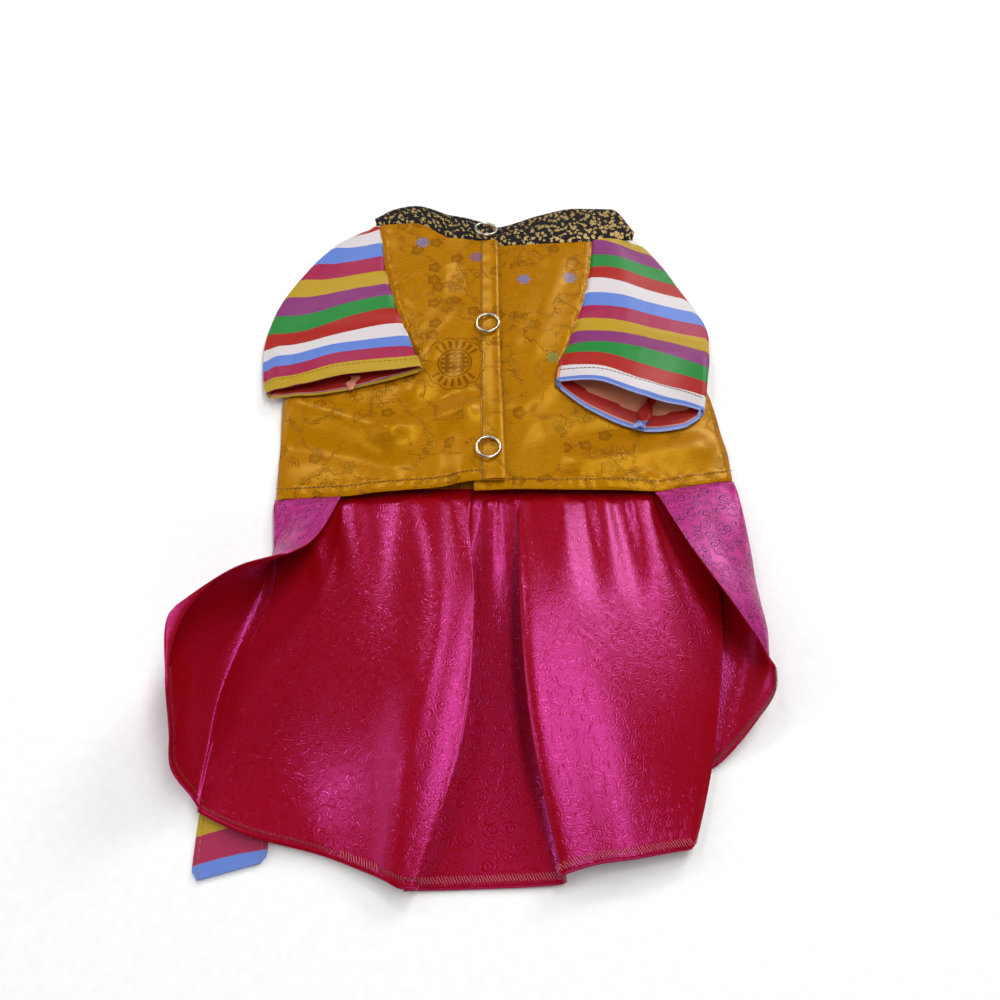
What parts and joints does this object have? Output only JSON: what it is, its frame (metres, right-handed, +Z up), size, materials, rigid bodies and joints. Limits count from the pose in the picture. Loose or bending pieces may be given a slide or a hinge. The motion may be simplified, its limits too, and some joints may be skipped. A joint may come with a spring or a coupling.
{
  "type": "dog hanbok",
  "caption": "Small dog's hanbok laid flat: gold snap-front bodice, black stand collar, striped sleeves, open gathered skirt and a sash tail.",
  "frame": {"origin": "bottom centre of the laid garment's box, on the surface it lies on", "axes": "+Y towards the neck, +X to the viewer's right as the garment lies on its back, +Z up from the surface"},
  "size_m": [0.1954, 0.2827, 0.0356],
  "materials": {
    "gold_jacquard": "satin jacquard",
    "collar_cloth": "matt cotton with gold specks",
    "striped_cloth": "printed plain weave, striped",
    "skirt_satin": "shot satin",
    "snap_metal": "polished"
  },
  "bodies": {
    "root": {"back_panel": "gold_jacquard", "front_left": "gold_jacquard", "front_right": "gold_jacquard", "placket": "gold_jacquard", "collar_left": "collar_cloth", "collar_right": "collar_cloth", "collar_back": "collar_cloth", "sleeve_left_upper": "striped_cloth", "sleeve_left_under": "striped_cloth", "sleeve_right_upper": "striped_cloth", "sleeve_right_under": "striped_cloth", "sash_tail": "striped_cloth", "skirt": "skirt_satin", "skirt_side_right": "skirt_satin", "snap_ring_1": "snap_metal", "snap_ring_2": "snap_metal", "snap_ring_3": "snap_metal"}
  },
  "joints": []
}
